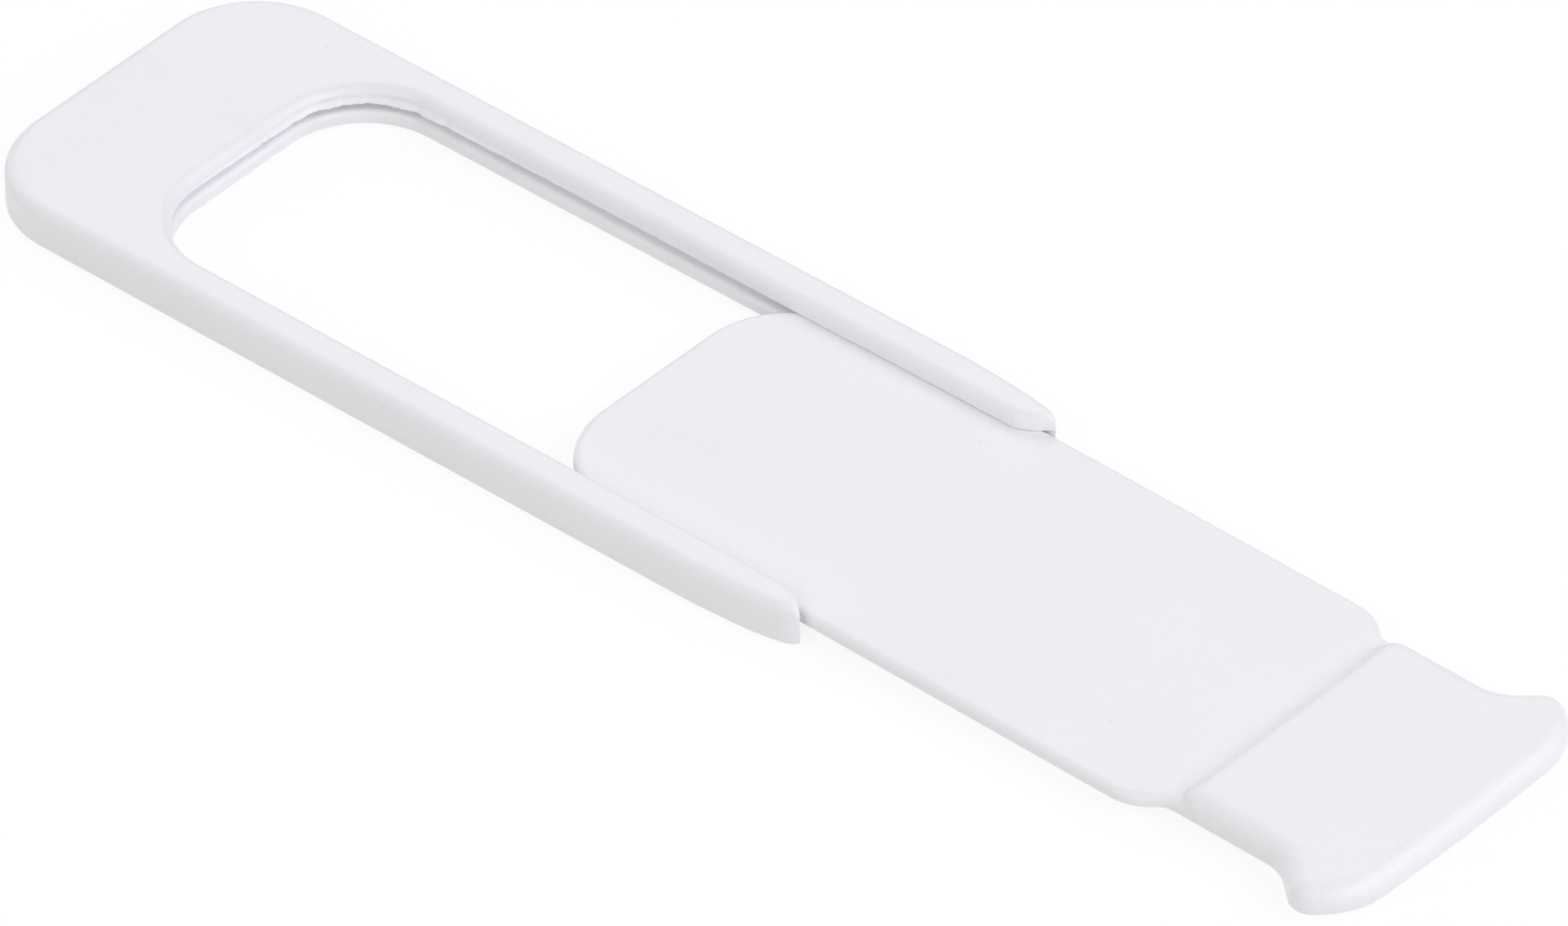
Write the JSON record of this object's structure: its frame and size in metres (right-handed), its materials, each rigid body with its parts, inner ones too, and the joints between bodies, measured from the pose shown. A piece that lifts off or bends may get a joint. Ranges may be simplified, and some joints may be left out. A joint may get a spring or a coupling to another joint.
{
  "type": "webcam cover slider",
  "caption": "Stick-on webcam privacy cover: a thin white U-shaped frame with a grooved window, and a flat plate with a fishtail pull tab that slides over the lens.",
  "frame": {"origin": "on the sticking face of the adhesive pad, in the middle of the frame's closed end", "axes": "+X along the slide towards the pull tab, +Y across the rails, +Z out of the sticking face towards the user"},
  "size_m": [0.062, 0.015, 0.0018],
  "materials": {
    "frame_plastic": "satin white moulding",
    "slider_plastic": "satin white moulding",
    "pad_foam": "tacky acrylic foam"
  },
  "bodies": {
    "frame": {"frame": "frame_plastic", "adhesive_pad": "pad_foam"},
    "slider": {"slider": "slider_plastic"}
  },
  "joints": [
    {"name": "slider_slide", "type": "slide", "parent": "frame", "child": "slider", "axis": [1, 0, 0], "range_m": [-0.0194, 0.004]}
  ]
}
